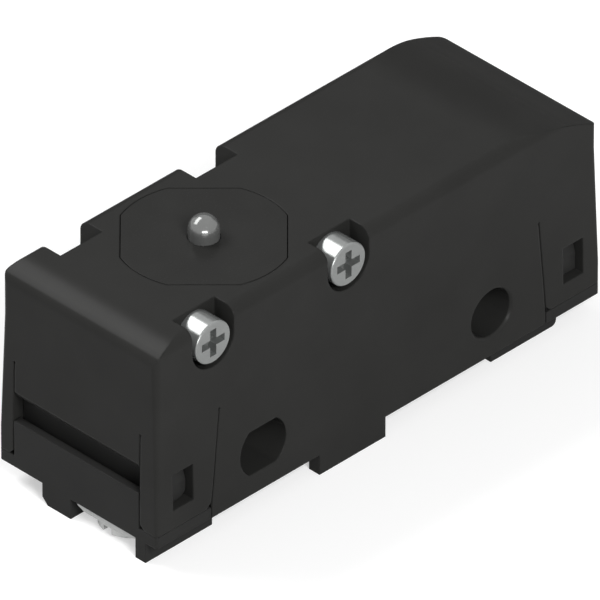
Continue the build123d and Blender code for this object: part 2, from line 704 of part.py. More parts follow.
def guide_screw(x):
    """A cross-head screw through the crown, head to the front."""
    seat_y = FRONT + POCKET_DEPTH
    face_y = seat_y - CROSS_HEAD_HEIGHT
    head = rod(x, CROSS_Z, CROSS_HEAD_RADIUS, face_y, seat_y)
    head = fillet(head.edges().filter_by(GeomType.CIRCLE).group_by(Axis.Y)[0], CROSS_HEAD_EDGE)
    shank = rod(x, CROSS_Z, CROSS_SCREW_RADIUS, seat_y, BACK - NOTCH_DEPTH - CROSS_TIP_SHORT)
    level = Rectangle(CROSS_SLOT_LENGTH, CROSS_SLOT_WIDTH)
    cross = Pos(x, CROSS_Z) * (level + Rot(0, 0, 90) * level)
    return head + shank - front_prism(cross, face_y - MARGIN, face_y + CROSS_SLOT_DEPTH)


def thread_insert(x):
    """The threaded brass insert at the back of the crown, with a groove that holds it."""
    mouth_y = BACK - NOTCH_DEPTH
    start_y = mouth_y - INSERT_LENGTH
    middle = (start_y + mouth_y) / 2
    body = rod(x, CROSS_Z, INSERT_RADIUS, start_y, mouth_y)
    neck = rod(x, CROSS_Z, INSERT_RADIUS - INSERT_GROOVE, middle - INSERT_GROOVE, middle + INSERT_GROOVE)
    waist = rod(x, CROSS_Z, INSERT_RADIUS, middle - INSERT_GROOVE, middle + INSERT_GROOVE) - neck
    return body - waist - rod(x, CROSS_Z, CROSS_SCREW_RADIUS + INSERT_CLEAR, start_y, mouth_y)


def plunger_guide():
    """The insert that guides the plunger, notched at both sides by the cross screws."""
    flange = extrude(Pos(PLUNGER_X, 0, FLANGE_Z) * guide_outline(0), GUIDE_FLANGE)
    body = flange + post(PLUNGER_X, 0, GUIDE_NECK_RADIUS, GUIDE_Z, FLANGE_Z)
    body -= post(PLUNGER_X, 0, GUIDE_BORE_RADIUS, GUIDE_Z, CEILING_Z)
    body -= post(PLUNGER_X, 0, PIN_RADIUS + SLIDE_CLEAR, GUIDE_Z, TOP)
    for x in CROSS_SCREWS_X:
        body -= rod(x, CROSS_Z, CROSS_SCREW_RADIUS + SCREW_HOLE_CLEAR, FRONT, BACK)
    return body


def plunger_pin():
    """The steel pin with its round nose."""
    nose_z = TOP + PIN_PROUD - PIN_RADIUS
    foot_z = CAP_TOP - PIN_SEAT_DEPTH + PRESS_CLEAR
    shank = post(PLUNGER_X, 0, PIN_RADIUS, foot_z, nose_z)
    return shank + Pos(PLUNGER_X, 0, nose_z) * Sphere(PIN_RADIUS)


def push_cap():
    """The insulating cap that carries the pin and presses the tongue."""
    foot_z = TONGUE_TOP + CAP_GAP
    nose_z = foot_z + CAP_NOSE_RADIUS
    body = post(PLUNGER_X, 0, GUIDE_BORE_RADIUS - SLIDE_CLEAR, CAP_FLANGE_Z, CAP_TOP)
    body += post(PLUNGER_X, 0, CAP_STEM_RADIUS, nose_z, CAP_FLANGE_Z)
    body += Pos(PLUNGER_X, 0, nose_z) * Sphere(CAP_NOSE_RADIUS)
    seat = post(PLUNGER_X, 0, PIN_RADIUS + PRESS_CLEAR, CAP_TOP - PIN_SEAT_DEPTH, CAP_TOP + MARGIN)
    return body - seat


def spring_retainer():
    """The ring pressed into the foot of the guide, under the spring."""
    ring = post(PLUNGER_X, 0, GUIDE_BORE_RADIUS - PRESS_CLEAR, GUIDE_Z, RETAINER_Z)
    return ring - post(PLUNGER_X, 0, CAP_STEM_RADIUS + 2 * SLIDE_CLEAR, GUIDE_Z, RETAINER_Z)


def return_spring():
    """The small coil spring between the retainer and the flange of the cap."""
    room = CAP_FLANGE_Z - RETAINER_Z - 2 * CAP_GAP - SPRING_WIRE
    start = Pos(PLUNGER_X, 0, RETAINER_Z + CAP_GAP + SPRING_WIRE / 2)
    path = start * Helix(room / SPRING_TURNS, room, SPRING_RADIUS)
    return sweep((path ^ 0) * Rectangle(SPRING_WIRE, SPRING_WIRE), path, is_frenet=True)


def blade_outline():
    """Top view of the blade: two legs, a plate with rounded corners and the rivet hole."""
    x0 = LEFT + BLADE_PIVOT_AT - BLADE_THICK
    x1 = CONTACT_X + BLADE_OVER
    leg_end = LEFT + BLADE_LEG_END_AT
    middle = (x0 + x1) / 2
    sheet = Pos(middle, 0) * Rectangle(x1 - x0, 2 * BLADE_HALF_WIDTH)
    sheet = fillet(sheet.vertices().group_by(Axis.X)[-1], BLADE_NOSE_RADIUS)
    window = Pos((x0 + leg_end) / 2, 0) * Rectangle(leg_end - x0, 2 * BLADE_WINDOW_HALF)
    return sheet - window - Pos(CONTACT_X, 0) * Circle(CONTACT_SHANK + RIVET_CLEAR)


def snap_blade():
    """The blade frame: arched legs with round noses, and a flat free end."""
    x0 = LEFT + BLADE_PIVOT_AT
    x1 = LEFT + BLADE_LEG_END_AT
    x2 = CONTACT_X + BLADE_OVER
    half = BLADE_THICK / 2
    crest = BLADE_Z + BLADE_ARCH
    middle = (x0 + x1) / 2
    upper = ThreePointArc((x0, BLADE_Z + half), (middle, crest + half), (x1, BLADE_Z + half))
    lower = ThreePointArc((x1, BLADE_Z - half), (middle, crest - half), (x0, BLADE_Z - half))
    flat = Polyline(upper @ 1, (x2, BLADE_Z + half), (x2, BLADE_Z - half), lower @ 0)
    nose = Line(lower @ 1, upper @ 0)
    side = make_face([upper, flat, lower, nose]) + Pos(x0, BLADE_Z) * Circle(half)
    sheet = extrude(Pos(0, 0, BLADE_Z - MARGIN) * blade_outline(), BLADE_ARCH + 2 * MARGIN)
    return front_prism(side, -BLADE_HALF_WIDTH, BLADE_HALF_WIDTH) & sheet


def tension_tongue():
    """The tongue in the middle of the blade, held behind the anchor wall by its bead."""
    x0 = LEFT + TONGUE_PIVOT_AT
    half = BLADE_THICK / 2
    bead = rod(x0, BLADE_Z, BEAD_RADIUS, -TONGUE_HALF_WIDTH, TONGUE_HALF_WIDTH)
    x1 = LEFT + TONGUE_END_AT
    width = TONGUE_HALF_WIDTH
    flat = block(x0, x1, -width, width, BLADE_Z - half, BLADE_Z + half)
    end = flat.edges().filter_by(Axis.Z).group_by(Axis.X)[-1]
    return bead + fillet(end, TONGUE_HALF_WIDTH / 2)


def blade_anchor():
    """The bracket on the common strip: a slotted wall for the tongue and two notched posts."""
    wall_x = LEFT + ANCHOR_START_AT
    wall_end = wall_x + ANCHOR_WALL
    wall_half = STRIP_WIDTH / 2
    post_end = LEFT + POST_END_AT
    floor_top = STRIP_TOP + ANCHOR_FLOOR
    width = ANCHOR_HALF_WIDTH
    floor = block(wall_x, post_end, -width, width, STRIP_TOP, floor_top)
    wall = block(wall_x, wall_end, -wall_half, wall_half, STRIP_TOP, BLADE_Z + ANCHOR_WALL_RISE)
    slot_low = BLADE_Z - ANCHOR_SLOT_RISE
    slot_top = BLADE_Z + ANCHOR_SLOT_RISE
    slot = block(wall_x, wall_end, -ANCHOR_SLOT_HALF, ANCHOR_SLOT_HALF, slot_low, slot_top)
    posts = block(LEFT + POST_START_AT, post_end, POST_INNER, width, STRIP_TOP, BLADE_Z + POST_RISE)
    apex = LEFT + BLADE_PIVOT_AT - NOTCH_APEX
    mouth = post_end + FIT
    notch = polygon((apex, BLADE_Z), (mouth, BLADE_Z + NOTCH_OPEN), (mouth, BLADE_Z - NOTCH_OPEN))
    posts -= front_prism(notch, FRONT, BACK)
    return floor + (wall - slot) + front_and_back(posts)


PIECES = {
    "housing": housing,
    "base": base,
    "plunger_guide": plunger_guide,
    "plunger_pin": plunger_pin,
    "push_cap": push_cap,
    "return_spring": return_spring,
    "spring_retainer": spring_retainer,
    "snap_blade": snap_blade,
    "tension_tongue": tension_tongue,
    "moving_contact": moving_contact,
    "blade_anchor": blade_anchor,
    "common_terminal": common_terminal,
    "open_terminal": open_terminal,
    "closed_terminal": closed_terminal,
}


def main():
    """Build every piece and write one file for each."""
    os.makedirs("parts", exist_ok=True)
    for name, make in PIECES.items():
        export_step(make(), f"parts/{name}.step")
    closed_tail = CLOSED_ARM + STRIP_THICK + RIVET_UPSET
    export_step(contact(OPEN_FACE, STRIP_TOP, BASE_TOP), "parts/open_contact.step")
    export_step(contact(CLOSED_FACE, CLOSED_ARM, closed_tail), "parts/closed_contact.step")
    for name, x in zip(("common", "open", "closed"), SCREWS_X):
        export_step(clamp_plate(x), f"parts/{name}_clamp.step")
        export_step(terminal_screw(x), f"parts/{name}_screw.step")
    export_step(Compound([guide_screw(x) for x in CROSS_SCREWS_X]), "parts/guide_screws.step")
    export_step(Compound([thread_insert(x) for x in CROSS_SCREWS_X]), "parts/thread_inserts.step")


main()
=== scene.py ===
"""The look of a basic micro switch: its finishes, its raised threads, its spring and its studio.

Metres, +Z up, the front of the body faces -Y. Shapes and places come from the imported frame.
"""

import logging
from dataclasses import dataclass, replace
from enum import Enum

import bpy
import numpy as np
from mathutils import Matrix, Vector


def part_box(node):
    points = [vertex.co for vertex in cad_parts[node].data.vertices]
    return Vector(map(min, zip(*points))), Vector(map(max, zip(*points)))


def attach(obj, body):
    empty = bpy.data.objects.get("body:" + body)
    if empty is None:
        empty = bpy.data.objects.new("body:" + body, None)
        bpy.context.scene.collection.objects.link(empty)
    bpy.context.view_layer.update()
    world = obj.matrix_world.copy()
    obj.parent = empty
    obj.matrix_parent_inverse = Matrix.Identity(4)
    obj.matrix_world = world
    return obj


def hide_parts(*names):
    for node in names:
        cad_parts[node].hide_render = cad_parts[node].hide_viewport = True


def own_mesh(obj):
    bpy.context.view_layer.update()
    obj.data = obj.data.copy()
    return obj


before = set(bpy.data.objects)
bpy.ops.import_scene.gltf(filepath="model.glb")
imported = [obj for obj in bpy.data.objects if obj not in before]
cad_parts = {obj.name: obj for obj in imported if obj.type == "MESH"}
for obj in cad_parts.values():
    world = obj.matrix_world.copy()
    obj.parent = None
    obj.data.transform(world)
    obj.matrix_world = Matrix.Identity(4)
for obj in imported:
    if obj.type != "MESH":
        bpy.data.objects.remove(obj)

LOG = logging.getLogger("micro_switch")
MM = 0.001

# The usual curve between screen levels and light: a straight toe, then a power.
SCREEN_TOP = 255
TOE_END = 0.04045
TOE_SLOPE = 12.92
CURVE_OFFSET = 0.055
CURVE_POWER = 2.4

Triple = tuple[float, float, float]


def linear(level: float) -> float:
    """The light value of a brightness from 0 to 255 as the eye sees it on a screen."""
    share = level / SCREEN_TOP
    if share <= TOE_END:
        return share / TOE_SLOPE
    return ((share + CURVE_OFFSET) / (1 + CURVE_OFFSET)) ** CURVE_POWER


def shade(red: float, green: float, blue: float) -> Triple:
    """A colour given as three screen levels from 0 to 255."""
    return linear(red), linear(green), linear(blue)


def grey(level: float) -> tuple[float, float, float, float]:
    """An opaque grey whose light value is given, 1 for white."""
    return level, level, level, 1.0


class Grain(Enum):
    """How the fine pattern of a finish runs: how tightly it is packed along each axis."""

    MOULDED = (1.0, 1.0, 1.0)
    TURNED = (1.0, 1.0, 8.0)
    ROLLED = (0.12, 1.0, 1.0)


@dataclass(frozen=True)
class Finish:
    """One surface finish: two nearby colours mottled together, a gloss range and a fine grain.

    Attributes:
        name: name of the material.
        slot: the material slot of the part's record; not used by this script.
        dark: the darker of the two colours.
        light: the lighter of the two colours.
        metallic: 1 for bare metal, 0 for plastic, between them for a dull metal coat.
        gloss: lowest and highest roughness.
        grain: how the fine pattern runs.
        patch_mm: size of the broad mottling.
        grain_mm: size of the fine grain.
        relief: strength of the grain as a bump, 0 to 1.
        specular: strength of the plain reflection of a plastic.
        edge_mm: radius at which the shading turns over a sharp edge.
        patch_octaves: octaves of finer noise in the mottling.
        grain_octaves: octaves of finer noise in the grain.
        depth_share: depth of the grain's bump, as a share of the grain's size.
        edge_samples: samples that soften the shading of an edge.
    """

    name: str
    slot: str
    dark: Triple
    light: Triple
    metallic: float
    gloss: tuple[float, float]
    grain: Grain
    patch_mm: float
    grain_mm: float
    relief: float
    specular: float = 0.5
    edge_mm: float = 0.04
    patch_octaves: float = 3.0
    grain_octaves: float = 2.0
    depth_share: float = 0.2
    edge_samples: int = 6

    def build(self) -> bpy.types.Material:
        """Make the material.

        Returns:
            A material whose colour, gloss and grain all follow Object coordinates.
        """
        material = bpy.data.materials.new(self.name)
        material.use_nodes = True
        tree = material.node_tree
        shader = tree.nodes["Principled BSDF"]
        shader.inputs["Metallic"].default_value = self.metallic
        shader.inputs["Specular IOR Level"].default_value = self.specular
        place = tree.nodes.new("ShaderNodeTexCoord")
        drawn_out = tree.nodes.new("ShaderNodeMapping")
        drawn_out.inputs["Scale"].default_value = self.grain.value
        tree.links.new(place.outputs["Object"], drawn_out.inputs["Vector"])
        patches = self.noise(tree, place.outputs["Object"], self.patch_mm, self.patch_octaves)
        grain = self.noise(tree, drawn_out.outputs["Vector"], self.grain_mm, self.grain_octaves)
        self.link_colour(tree, patches, shader)
        self.link_gloss(tree, grain, shader)
        self.link_relief(tree, grain, shader)
        return material

    @staticmethod
    def noise(
        tree: bpy.types.NodeTree, vector: bpy.types.NodeSocket, size_mm: float, octaves: float
    ) -> bpy.types.NodeSocket:
        """Add soft noise of one size.

        Args:
            tree: the node tree of the material.
            vector: where the noise is read.
            size_mm: the size of one patch.
            octaves: octaves of finer noise.

        Returns:
            The noise value, about 0.3 to 0.7.
        """
        texture = tree.nodes.new("ShaderNodeTexNoise")
        texture.inputs["Scale"].default_value = 1 / (size_mm * MM)
        texture.inputs["Detail"].default_value = octaves
        tree.links.new(vector, texture.inputs["Vector"])
        return texture.outputs["Fac"]

    def link_colour(
        self, tree: bpy.types.NodeTree, patches: bpy.types.NodeSocket, shader: bpy.types.Node
    ) -> None:
        """Mottle the two colours.

        Args:
            tree: the node tree of the material.
            patches: the broad noise.
            shader: the shader that takes the colour.
        """
        colour = tree.nodes.new("ShaderNodeMix")
        colour.data_type = "RGBA"
        colour.inputs["A"].default_value = (*self.dark, 1.0)
        colour.inputs["B"].default_value = (*self.light, 1.0)
        tree.links.new(patches, colour.inputs["Factor"])
        tree.links.new(colour.outputs["Result"], shader.inputs["Base Color"])

    def link_gloss(
        self, tree: bpy.types.NodeTree, grain: bpy.types.NodeSocket, shader: bpy.types.Node
    ) -> None:
        """Let the gloss vary with the grain.

        Args:
            tree: the node tree of the material.
            grain: the fine noise.
            shader: the shader that takes the roughness.
        """
        gloss = tree.nodes.new("ShaderNodeMapRange")
        gloss.inputs["To Min"].default_value = self.gloss[0]
        gloss.inputs["To Max"].default_value = self.gloss[1]
        tree.links.new(grain, gloss.inputs["Value"])
        tree.links.new(gloss.outputs["Result"], shader.inputs["Roughness"])

    def link_relief(
        self, tree: bpy.types.NodeTree, grain: bpy.types.NodeSocket, shader: bpy.types.Node
    ) -> None:
        """Raise the grain a little, on a surface whose sharp edges shade as if rounded.

        Args:
            tree: the node tree of the material.
            grain: the fine noise.
            shader: the shader that takes the normal.
        """
        edge = tree.nodes.new("ShaderNodeBevel")
        edge.samples = self.edge_samples
        edge.inputs["Radius"].default_value = self.edge_mm * MM
        bump = tree.nodes.new("ShaderNodeBump")
        bump.inputs["Strength"].default_value = self.relief
        bump.inputs["Distance"].default_value = self.grain_mm * MM * self.depth_share
        tree.links.new(grain, bump.inputs["Height"])
        tree.links.new(edge.outputs["Normal"], bump.inputs["Normal"])
        tree.links.new(bump.outputs["Normal"], shader.inputs["Normal"])


BLACK_CASE = Finish(
    name="black_moulded_case",
    slot="case_black",
    dark=shade(36, 36, 35),
    light=shade(44, 44, 43),
    metallic=0.0,
    gloss=(0.2, 0.28),
    grain=Grain.MOULDED,
    patch_mm=6.0,
    grain_mm=0.16,
    relief=0.08,
    specular=0.065,
    edge_mm=0.2,
)
BLACK_BASE = replace(
    BLACK_CASE,
    name="black_moulded_base",
    dark=shade(36, 36, 36),
    gloss=(0.28, 0.38),
    patch_mm=5.0,
    edge_mm=0.14,
)
BLACK_GUIDE = replace(
    BLACK_CASE,
    name="black_moulded_guide",
    gloss=(0.22, 0.3),
    patch_mm=4.0,
    grain_mm=0.14,
    edge_mm=0.1,
)
CAP_PLASTIC = Finish(
    name="red_brown_cap",
    slot="cap_plastic",
    dark=shade(128, 56, 36),
    light=shade(148, 66, 42),
    metallic=0.0,
    gloss=(0.34, 0.48),
    grain=Grain.MOULDED,
    patch_mm=2.0,
    grain_mm=0.1,
    relief=0.1,
)
PIN_STEEL = Finish(
    name="satin_pin_steel",
    slot="steel",
    dark=shade(113, 114, 113),
    light=shade(127, 128, 127),
    metallic=0.58,
    gloss=(0.11, 0.17),
    grain=Grain.TURNED,
    patch_mm=1.5,
    grain_mm=0.08,
    relief=0.05,
)
ZINC_SCREW = Finish(
    name="zinc_plated_screw",
    slot="zinc_steel",
    dark=shade(190, 191, 190),
    light=shade(206, 207, 206),
    metallic=0.5,
    gloss=(0.26, 0.38),
    grain=Grain.TURNED,
    patch_mm=1.8,
    grain_mm=0.12,
    relief=0.1,
)
ZINC_CROSS = replace(
    ZINC_SCREW,
    name="zinc_plated_cross_screw",
    dark=shade(137, 139, 138),
    light=shade(151, 153, 152),
    metallic=0.65,
    gloss=(0.17, 0.25),
    relief=0.08,
)
ZINC_PLATE = replace(
    ZINC_SCREW,
    name="zinc_plated_clamp",
    dark=shade(179, 180, 179),
    light=shade(195, 196, 195),
    gloss=(0.3, 0.44),
    grain=Grain.ROLLED,
    relief=0.12,
)
PLATED_BRASS = Finish(
    name="pale_plated_brass",
    slot="plated_brass",
    dark=shade(196, 190, 170),
    light=shade(212, 206, 184),
    metallic=1.0,
    gloss=(0.28, 0.42),
    grain=Grain.ROLLED,
    patch_mm=2.4,
    grain_mm=0.12,
    relief=0.12,
)
BARE_BRASS = replace(
    PLATED_BRASS,
    name="turned_brass",
    slot="brass",
    dark=shade(198, 164, 96),
    light=shade(216, 182, 110),
    gloss=(0.2, 0.34),
    grain=Grain.TURNED,
    patch_mm=1.6,
    grain_mm=0.1,
    relief=0.08,
)
SPRING_BRONZE = replace(
    PLATED_BRASS,
    name="rolled_spring_alloy",
    slot="spring_bronze",
    dark=shade(192, 140, 104),
    light=shade(210, 156, 116),
    gloss=(0.24, 0.38),
    patch_mm=3.0,
    relief=0.1,
)
SPRING_WIRE = replace(
    PLATED_BRASS,
    name="drawn_spring_wire",
    slot="spring_steel",
    dark=shade(160, 161, 163),
    light=shade(184, 185, 187),
    gloss=(0.24, 0.36),
    patch_mm=1.0,
    grain_mm=0.06,
    relief=0.1,
)
SILVER = replace(
    PLATED_BRASS,
    name="soft_contact_silver",
    slot="contact_silver",
    dark=shade(214, 213, 208),
    light=shade(230, 229, 224),
    gloss=(0.2, 0.34),
    grain=Grain.TURNED,
    patch_mm=0.9,
    grain_mm=0.08,
    relief=0.06,
)


def plan_middle(node: str) -> tuple[float, float]:
    """Where the middle of one of the frame's nodes lies in plan: its x and y."""
    low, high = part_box(node)
    return (low.x + high.x) / 2, (low.y + high.y) / 2


def closed_bar(name: str, points: np.ndarray) -> bpy.types.Object:
    """Turn a grid of places into a closed bar of four-sided faces with a face on each end.

    The grid runs along the bar in its first direction and round it in its second, which wraps.
    Cell (i, j) joins places (i, j), (i, j + 1), (i + 1, j + 1) and (i + 1, j).

    Args:
        name: name of the new piece.
        points: rows by columns by 3 array of places in metres.

    Returns:
        The new object, linked to the scene, with its place in its mesh.
    """
    rows, columns = points.shape[:2]
    index = np.arange(rows * columns).reshape(rows, columns)
    wrapped = np.roll(index, -1, axis=1)
    cells = np.stack([index[:-1], wrapped[:-1], wrapped[1:], index[1:]], axis=-1)
    ends = [index[0, ::-1].tolist(), index[-1].tolist()]
    mesh = bpy.data.meshes.new(name)
    mesh.from_pydata(points.reshape(-1, 3), [], cells.reshape(-1, 4).tolist() + ends)
    piece = bpy.data.objects.new(name, mesh)
    bpy.context.scene.collection.objects.link(piece)
    return piece


@dataclass
class SubAssembly:
    """Pieces that belong together on the switch."""

    def coats(self) -> dict[Finish, tuple[str, ...]]:
        """Each finish with the pieces of the frame that take it."""
        raise NotImplementedError

    def make(self, materials: dict[Finish, bpy.types.Material]) -> list[str]:
        """Build the pieces that the frame doesn't hold; most groups have none."""
        return []

    def build(self) -> list[str]:
        """Dress the frame's own pieces and add the new ones.

        Returns:
            The names of all pieces of the group.
        """
        materials = {}
        names = []
        for finish, nodes in self.coats().items():
            materials[finish] = finish.build()
            for node in nodes:
                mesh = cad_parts[node].data
                mesh.materials.clear()
                mesh.materials.append(materials[finish])
            names += nodes
        return names + self.make(materials)


@dataclass
class Mouldings(SubAssembly):
    """The black moulded pieces: housing, base and plunger guide."""

    def coats(self) -> dict[Finish, tuple[str, ...]]:
        """Each moulding in its own shade of black."""
        return {BLACK_CASE: ("housing",), BLACK_BASE: ("base",), BLACK_GUIDE: ("plunger_guide",)}


@dataclass
class Plunger(SubAssembly):
    """The pin, its insulating cap, the round-wire spring and the ring below it.

    Attributes:
        wire: diameter of the spring's wire.
        turns: turns of the spring, the closed ones at its ends included.
        closed: turns at each end that lie wire on wire.
        steps: places along one turn.
        sides: places round the wire.
    """

    wire: float = 0.32 * MM
    turns: float = 4.0
    closed: float = 0.6
    steps: int = 40
    sides: int = 10

    def coats(self) -> dict[Finish, tuple[str, ...]]:
        """Steel pin, red-brown cap, drawn wire and a brass ring."""
        return {
            PIN_STEEL: ("plunger_pin",),
            CAP_PLASTIC: ("push_cap",),
            SPRING_WIRE: ("return_spring",),
            BARE_BRASS: ("spring_retainer",),
        }

    def coil_height(self, t: np.ndarray) -> np.ndarray:
        """The height of the wire's middle at each turn.

        It is the wire times t, as in closed turns, plus the spare height times a smooth ramp.
        The ramp runs from 0 to 1 between the closed turns of one end and those of the other, as
        three times the square of the way along it less twice the cube.

        Args:
            t: turns from the lower end.

        Returns:
            The heights in metres.
        """
        low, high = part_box("return_spring")
        along = np.clip((t - self.closed) / (self.turns - 2 * self.closed), 0, 1)
        spare = high.z - low.z - self.wire * (self.turns + 1)
        return low.z + self.wire / 2 + self.wire * t + spare * along * along * (3 - 2 * along)

    def spring(self) -> bpy.types.Object:
        """The return spring as a round wire, in the place that the frame gives it.

        At turn t the middle of the wire lies at the angle two pi times t on a circle that keeps
        the wire inside the spring's box. Round the wire, each place is the middle plus the half
        wire times the cosine outwards and the sine across, square to the rising wire. That angle
        runs backwards, so that the faces point out.

        Returns:
            The spring as a closed bar.
        """
        low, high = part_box("return_spring")
        half = self.wire / 2
        circle = (high.x - low.x) / 2 - half
        t = np.linspace(0, self.turns, int(self.turns * self.steps))
        angle = 2 * np.pi * t
        height = self.coil_height(t)
        slope = np.gradient(height, angle) / circle
        out = np.stack([np.cos(angle), np.sin(angle), np.zeros_like(t)], axis=-1)
        across = np.stack([slope * np.sin(angle), -slope * np.cos(angle), np.ones_like(t)], axis=-1)
        across /= np.linalg.norm(across, axis=-1, keepdims=True)
        x, y = plan_middle("return_spring")
        middle = out * circle + np.stack([np.full_like(t, x), np.full_like(t, y), height], axis=-1)
        around = -2 * np.pi * np.arange(self.sides) / self.sides
        ring = half * np.cos(around)[None, :, None] * out[:, None]
        ring = ring + half * np.sin(around)[None, :, None] * across[:, None]
        return closed_bar("round_return_spring", middle[:, None] + ring)

    def make(self, materials: dict[Finish, bpy.types.Material]) -> list[str]:
        """Put the round-wire spring in place of the plain one.

        Args:
            materials: the materials of the group, by finish.

        Returns:
            The name of the spring.
        """
        spring = self.spring()
        spring.data.materials.append(materials[SPRING_WIRE])
        spring.data.shade_smooth()
        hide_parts("return_spring")
        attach(spring, "root")
        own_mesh(spring)
        return [spring.name]


@dataclass
class Mechanism(SubAssembly):
    """The snap blade with its tongue, its anchor and the contacts."""

    def coats(self) -> dict[Finish, tuple[str, ...]]:
        """Spring alloy strips, silver contacts and a brass anchor."""
        return {
            SPRING_BRONZE: ("snap_blade", "tension_tongue"),
            SILVER: ("moving_contact", "open_contact", "closed_contact"),
            BARE_BRASS: ("blade_anchor",),
        }


@dataclass
class Terminals(SubAssembly):
    """The three screw terminals: plates, clamp plates, and slotted screws with their threads.

    Attributes:
        ways: the three terminals by name.
        shank: radius of a screw's shank.
        pitch: rise of the thread in one turn.
        proud: how far the thread stands out of the shank.
        sunk: how far its root lies inside the shank.
        root_half: half the width of the thread at its root.
        crest_half: half the width of the thread at its crest.
        clear: plain stretch left at each end of the shank.
        fade: the share of a turn over which the thread rises at its ends.
        steps: places along one turn.
    """

    ways: tuple[str, ...] = ("common", "open", "closed")
    shank: float = 1.45 * MM
    pitch: float = 0.5 * MM
    proud: float = 0.042 * MM
    sunk: float = 0.02 * MM
    root_half: float = 0.2 * MM
    crest_half: float = 0.05 * MM
    clear: float = 0.24 * MM
    fade: float = 0.3
    steps: int = 48

    def coats(self) -> dict[Finish, tuple[str, ...]]:
        """Pale plated terminals, and zinc on the clamps and the screws."""
        return {
            PLATED_BRASS: tuple(f"{way}_terminal" for way in self.ways),
            ZINC_PLATE: tuple(f"{way}_clamp" for way in self.ways),
            ZINC_SCREW: tuple(f"{way}_screw" for way in self.ways),
        }

    def thread(self, way: str) -> bpy.types.Object:
        """The raised thread of one terminal screw.

        A four-cornered profile is carried along a right-hand helix. At turn t the angle is two
        pi times t and the height is the start plus pitch times t. The profile's outer corners
        stand proud of the shank by a share that rises from 0 to 1 over the first part of a turn
        and falls again over the last.

        Args:
            way: the terminal whose screw it is.

        Returns:
            The thread as a closed bar.
        """
        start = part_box(f"{way}_clamp")[0].z + self.clear
        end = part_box(f"{way}_screw")[1].z - self.clear
        turns = (end - start) / self.pitch
        t = np.linspace(0, turns, int(turns * self.steps))[:, None]
        rise = np.clip(np.minimum(t, turns - t) / self.fade, 0, 1)
        inner = np.full_like(t, self.shank - self.sunk)
        outer = self.shank + self.proud * rise - self.sunk * (1 - rise)
        radius = np.hstack([inner, outer, outer, inner])
        profile = np.array([self.root_half, self.crest_half, -self.crest_half, -self.root_half])
        height = start + self.pitch * t + profile
        angle = 2 * np.pi * t
        x, y = plan_middle(f"{way}_screw")
        x = x + radius * np.cos(angle)
        y = y + radius * np.sin(angle)
        return closed_bar(f"{way}_screw_thread", np.stack([x, y, height], axis=-1))

    def make(self, materials: dict[Finish, bpy.types.Material]) -> list[str]:
        """Put a thread on each screw, riding with it.

        Args:
            materials: the materials of the group, by finish.

        Returns:
            The names of the threads.
        """
        names = []
        for way in self.ways:
            thread = self.thread(way)
            thread.data.materials.append(materials[ZINC_SCREW])
            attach(thread, f"{way}_screw")
            names.append(thread.name)
        return names


@dataclass
class CrossScrews(SubAssembly):
    """The two cross-head screws that hold the plunger guide, with their inserts."""

    def coats(self) -> dict[Finish, tuple[str, ...]]:
        """Zinc on the screws, bare brass on the inserts."""
        return {ZINC_CROSS: ("guide_screws",), BARE_BRASS: ("thread_inserts",)}


class Shine(Enum):
    """What a lamp does: soft lamps light the surfaces, glints only show in their gloss."""

    SOFT = "soft"
    GLINT = "glint"


@dataclass(frozen=True)
class Lamp:
    """A rectangular lamp that faces the switch.

    Attributes:
        name: name of the lamp.
        way: the direction in which it hangs, seen from the switch.
        across: the direction of its long side.
        size: its length and width in metres.
        power: its power in watts.
        shine: what it does.
    """

    name: str
    way: Triple
    across: Triple
    size: tuple[float, float]
    power: float
    shine: Shine

    def hang(self, aim: Vector, away: float) -> None:
        """Put the lamp into the scene.

        Args:
            aim: the point that it faces.
            away: its distance from there.
        """
        data = bpy.data.lights.new(self.name, "AREA")
        data.shape = "RECTANGLE"
        data.size, data.size_y = self.size
        data.energy = self.power
        lamp = bpy.data.objects.new(self.name, data)
        back = Vector(self.way).normalized()
        across = Vector(self.across)
        side = (across - back * across.dot(back)).normalized()
        turn = Matrix((side, back.cross(side), back)).transposed()
        lamp.location = aim + back * away
        lamp.rotation_mode = "QUATERNION"
        lamp.rotation_quaternion = turn.to_quaternion()
        lamp.visible_glossy = self.shine is Shine.GLINT
        lamp.visible_diffuse = self.shine is Shine.SOFT
        bpy.context.scene.collection.objects.link(lamp)


LAMPS = (
    Lamp("fill_lamp", (-0.4, -1.0, 0.85), (1.0, -0.4, 0.0), (0.17, 0.17), 1.9, Shine.SOFT),
    Lamp("front_lamp", (-0.45, -0.87, 0.2), (1.0, -0.5, 0.0), (0.16, 0.1), 0.45, Shine.SOFT),
    Lamp("top_lamp", (-0.2, 0.58, 0.75), (1.0, 0.0, 0.0), (0.3, 0.2), 1.6, Shine.SOFT),
    Lamp("brow_glint", (-0.21, 0.577, 0.7), (-0.92, 0.0, -0.29), (0.44, 0.22), 1.7, Shine.GLINT),
    Lamp("front_glint", (-0.6, -0.77, 0.2), (1.0, -0.8, 0.0), (0.34, 0.12), 1.3, Shine.GLINT),
)


